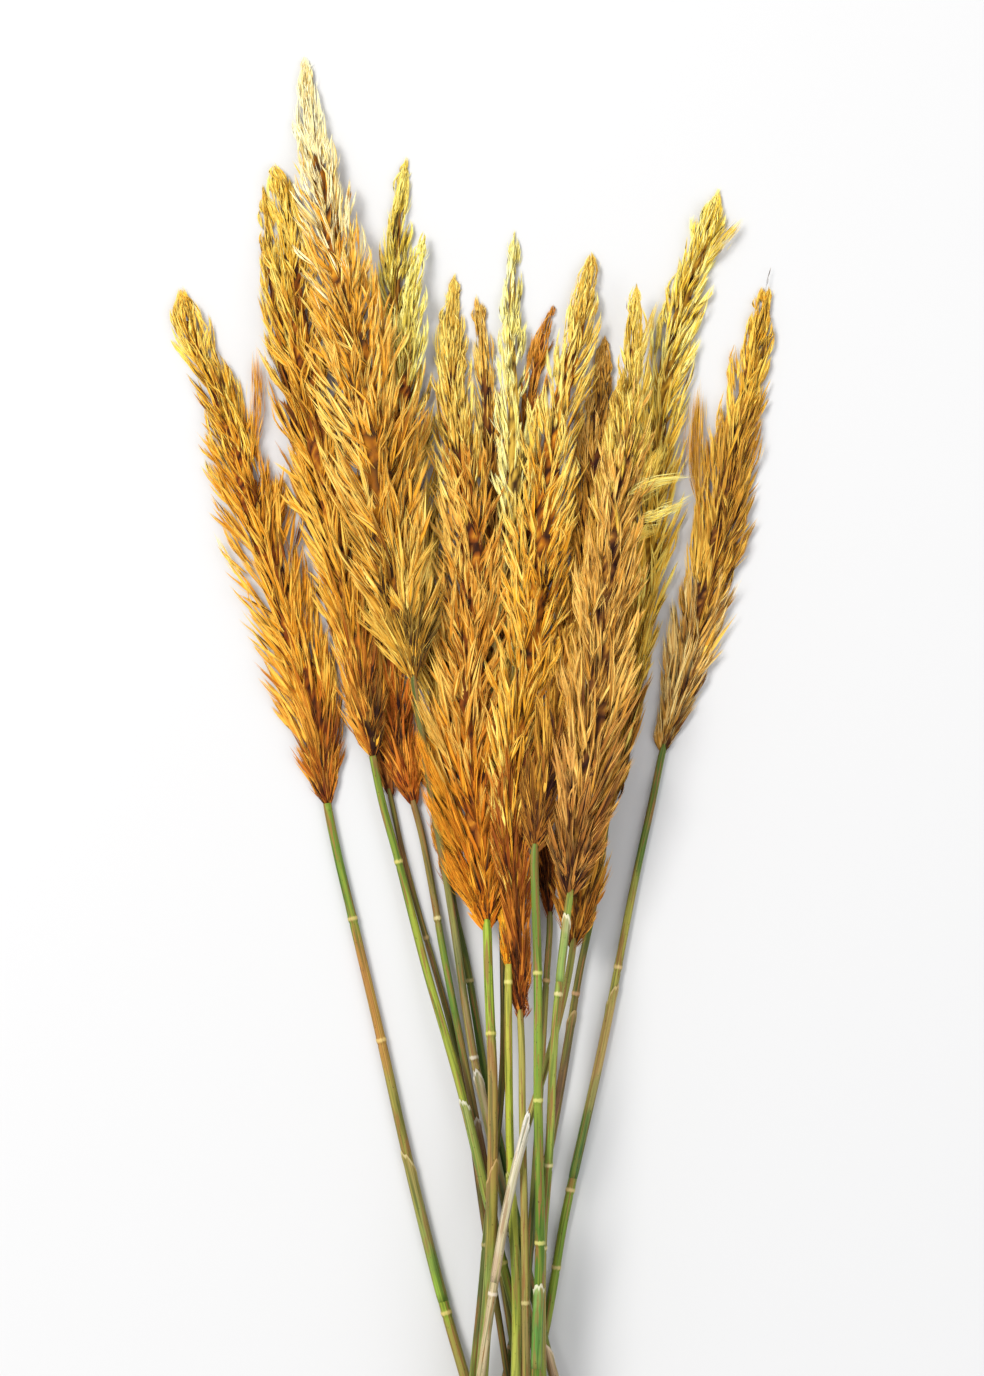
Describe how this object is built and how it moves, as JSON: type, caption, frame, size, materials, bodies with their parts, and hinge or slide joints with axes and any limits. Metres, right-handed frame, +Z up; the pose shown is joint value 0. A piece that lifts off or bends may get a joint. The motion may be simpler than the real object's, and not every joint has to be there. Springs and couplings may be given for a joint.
{
  "type": "bunch of reeds",
  "caption": "Loose bunch of dried common reeds lying flat: feathery gold, straw and brown seed plumes on slender jointed stems, some still wrapped in torn leaf sheaths.",
  "frame": {"origin": "on the surface that the bunch lies on, under the middle of its bounding box", "axes": "+Y from the cut feet to the plume tips, +X to the right of the bunch seen from above with the plumes away from the viewer, +Z up from the surface"},
  "size_m": [0.264, 0.6982, 0.0404],
  "materials": {
    "stem_green": "satin, fine lengthwise grooves, yellow-green with pale node rings",
    "stem_olive": "satin, fine lengthwise grooves, olive to tan with brown streaks",
    "stem_dark": "satin, fine lengthwise grooves, dark green to brown",
    "sheath_cream": "matt, papery, ribbed lengthwise, cream to pale green",
    "plume_gold": "matt, feathery, brown at the roots and yellow at the tips",
    "plume_rust": "matt, feathery, dark brown roots and rust to orange tips",
    "plume_straw": "matt, feathery, pale straw with greenish tips"
  },
  "bodies": {
    "root": {"reed_01_stem": "stem_olive", "reed_01_plume": "plume_gold", "reed_01_sheath": "sheath_cream", "reed_02_stem": "stem_dark", "reed_02_plume": "plume_rust", "reed_03_stem": "stem_green", "reed_03_plume": "plume_gold", "reed_03_sheath": "sheath_cream", "reed_04_stem": "stem_olive", "reed_04_plume": "plume_straw", "reed_04_sheath": "sheath_cream", "reed_05_stem": "stem_olive", "reed_05_plume": "plume_rust", "reed_05_sheath": "sheath_cream", "reed_06_stem": "stem_dark", "reed_06_plume": "plume_gold", "reed_06_sheath": "sheath_cream", "reed_07_stem": "stem_green", "reed_07_plume": "plume_gold", "reed_07_sheath": "sheath_cream", "reed_08_stem": "stem_dark", "reed_08_plume": "plume_rust", "reed_09_stem": "stem_green", "reed_09_plume": "plume_straw", "reed_09_sheath": "sheath_cream", "reed_10_stem": "stem_olive", "reed_10_plume": "plume_gold", "reed_11_stem": "stem_dark", "reed_11_plume": "plume_rust", "reed_12_stem": "stem_green", "reed_12_plume": "plume_rust", "reed_12_sheath": "sheath_cream", "reed_13_stem": "stem_olive", "reed_13_plume": "plume_straw", "reed_13_sheath": "sheath_cream", "reed_14_stem": "stem_green", "reed_14_plume": "plume_rust", "reed_14_sheath": "sheath_cream", "reed_15_stem": "stem_dark", "reed_15_plume": "plume_gold", "reed_15_sheath": "sheath_cream", "reed_16_stem": "stem_green", "reed_16_plume": "plume_gold", "reed_16_sheath": "sheath_cream"}
  },
  "joints": []
}
